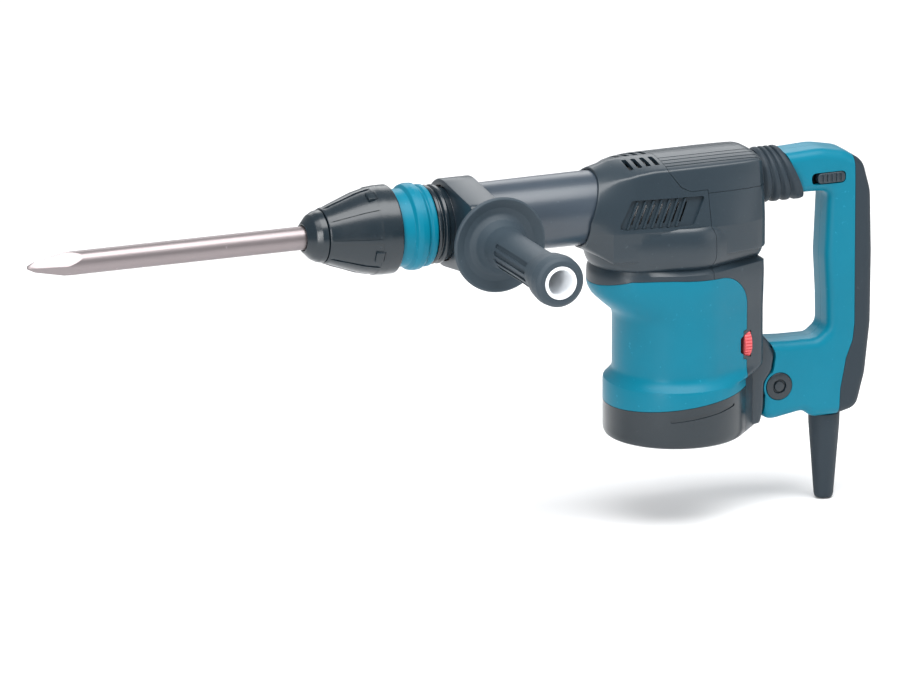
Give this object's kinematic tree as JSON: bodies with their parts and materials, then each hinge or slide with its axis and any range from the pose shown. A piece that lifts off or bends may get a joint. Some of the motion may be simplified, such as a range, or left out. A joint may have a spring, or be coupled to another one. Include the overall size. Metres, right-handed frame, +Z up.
{
  "type": "demolition hammer",
  "caption": "Electric demolition hammer with a bull-point chisel, side grip with guard disc, upright motor and a sprung D-shaped rear handle.",
  "frame": {"origin": "centre of the flat underside of the motor cap", "axes": "the chisel points to -X, +Z is up, the operator's left side is -Y"},
  "size_m": [0.687, 0.2484, 0.287],
  "materials": {
    "teal_plastic": "satin",
    "black_plastic": "satin",
    "rubber": "matte",
    "chisel_steel": "satin",
    "dark_steel": "satin",
    "alloy": "cast",
    "white_plastic": "satin",
    "copper": "satin",
    "red_plastic": "satin",
    "carbon": "matte"
  },
  "bodies": {
    "hammer": {"barrel": "black_plastic", "barrel_ring": "black_plastic", "crank_case": "alloy", "cylinder": "alloy", "field_stator": "dark_steel", "brush_left": "carbon", "brush_right": "carbon", "brush_holder_left": "copper", "brush_holder_right": "copper", "front_housing": "black_plastic", "top_rear_cover": "black_plastic", "rear_housing": "black_plastic", "motor_housing": "teal_plastic", "motor_cap": "black_plastic", "cap_screw_1": "dark_steel", "cap_screw_2": "dark_steel", "cap_screw_3": "dark_steel", "cap_screw_4": "dark_steel", "crank_bearing_lower": "dark_steel", "crank_bearing_upper": "dark_steel", "armature_bearing_lower": "dark_steel", "armature_bearing_upper": "dark_steel", "speed_controller": "carbon", "pivot_bolt": "dark_steel", "damper_rod": "dark_steel", "damper_spring": "dark_steel", "handle_bellows": "rubber"},
    "holder": {"tool_holder": "dark_steel", "nose_cap": "rubber", "cover_spring": "dark_steel"},
    "angle_ring": {"change_ring": "teal_plastic"},
    "cover": {"release_cover": "black_plastic"},
    "roller_top": {"locking_roller_top": "dark_steel"},
    "roller_bottom": {"locking_roller_bottom": "dark_steel"},
    "chisel": {"chisel": "chisel_steel"},
    "side_clamp": {"clamp_block": "black_plastic", "clamp_band": "dark_steel"},
    "grip": {"side_grip": "rubber", "grip_core": "white_plastic", "grip_bolt": "dark_steel"},
    "impact_bolt": {"impact_bolt": "dark_steel"},
    "striker": {"striker": "dark_steel"},
    "piston": {"piston": "alloy", "wrist_pin": "dark_steel", "connecting_rod": "dark_steel"},
    "crank": {"crank_shaft": "dark_steel", "crank_gear": "dark_steel"},
    "armature": {"armature_shaft": "dark_steel", "armature_core": "dark_steel", "commutator": "copper", "fan": "white_plastic"},
    "rear_handle": {"handle_shell_left": "teal_plastic", "handle_shell_right": "teal_plastic", "handle_back_strip": "black_plastic", "switch_block": "carbon", "pivot_cap_left": "black_plastic", "pivot_cap_right": "black_plastic", "cord_guard": "rubber"},
    "switch": {"switch_slider": "black_plastic"},
    "dial": {"speed_dial": "red_plastic"}
  },
  "joints": [
    {"name": "holder_turn", "type": "hinge", "parent": "hammer", "child": "holder", "pos_m": [-0.25, 0, 0.185], "axis": [1, 0, 0], "continuous": true},
    {"name": "change_ring_slide", "type": "slide", "parent": "holder", "child": "angle_ring", "axis": [-1, 0, 0], "range_m": [0, 0.004], "stiffness_N_per_m": 600, "springref_m": -0.003},
    {"name": "cover_slide", "type": "slide", "parent": "holder", "child": "cover", "axis": [1, 0, 0], "range_m": [0, 0.006], "stiffness_N_per_m": 900, "springref_m": -0.004, "deforming": ["cover_spring"]},
    {"name": "roller_top_slide", "type": "slide", "parent": "holder", "child": "roller_top", "axis": [0, 0, 1], "range_m": [0, 0.0029]},
    {"name": "roller_bottom_slide", "type": "slide", "parent": "holder", "child": "roller_bottom", "axis": [0, 0, -1], "range_m": [0, 0.0029]},
    {"name": "chisel_play", "type": "slide", "parent": "holder", "child": "chisel", "axis": [-1, 0, 0], "range_m": [0, 0.012]},
    {"name": "side_handle_swivel", "type": "hinge", "parent": "hammer", "child": "side_clamp", "pos_m": [-0.179, 0, 0.185], "axis": [1, 0, 0], "continuous": true},
    {"name": "grip_screw", "type": "hinge", "parent": "side_clamp", "child": "grip", "pos_m": [-0.176, -0.1, 0.185], "axis": [0, -1, 0], "range_deg": [0, 720]},
    {"name": "impact_bolt_slide", "type": "slide", "parent": "hammer", "child": "impact_bolt", "axis": [1, 0, 0], "range_m": [0, 0.005]},
    {"name": "striker_slide", "type": "slide", "parent": "hammer", "child": "striker", "axis": [1, 0, 0], "range_m": [0, 0.006]},
    {"name": "piston_slide", "type": "slide", "parent": "hammer", "child": "piston", "axis": [1, 0, 0], "range_m": [0, 0.03]},
    {"name": "armature_spin", "type": "hinge", "parent": "hammer", "child": "armature", "pos_m": [0, 0, 0.065], "axis": [0, 0, 1], "continuous": true},
    {"name": "crank_spin", "type": "hinge", "parent": "hammer", "child": "crank", "pos_m": [-0.02875, 0, 0.14], "axis": [0, 0, 1], "continuous": true},
    {"name": "handle_pivot", "type": "hinge", "parent": "hammer", "child": "rear_handle", "pos_m": [0.08, 0, 0.0315], "axis": [0, 1, 0], "range_deg": [-2, 0], "stiffness_Nm_per_rad": 450, "springref_deg": 0.69, "deforming": ["handle_bellows", "damper_spring"]},
    {"name": "switch_slide", "type": "slide", "parent": "rear_handle", "child": "switch", "axis": [-1, 0, 0], "range_m": [0, 0.0045]},
    {"name": "speed_dial_turn", "type": "hinge", "parent": "hammer", "child": "dial", "pos_m": [0.0465, -0.024, 0.0726], "axis": [1, 0, 0], "range_deg": [0, 270]}
  ],
  "couplings": [
    {"joint": "roller_top_slide", "follows": "cover_slide", "ratio": 0.48},
    {"joint": "roller_bottom_slide", "follows": "cover_slide", "ratio": 0.48},
    {"joint": "crank_spin", "follows": "armature_spin", "ratio": -0.21053}
  ]
}
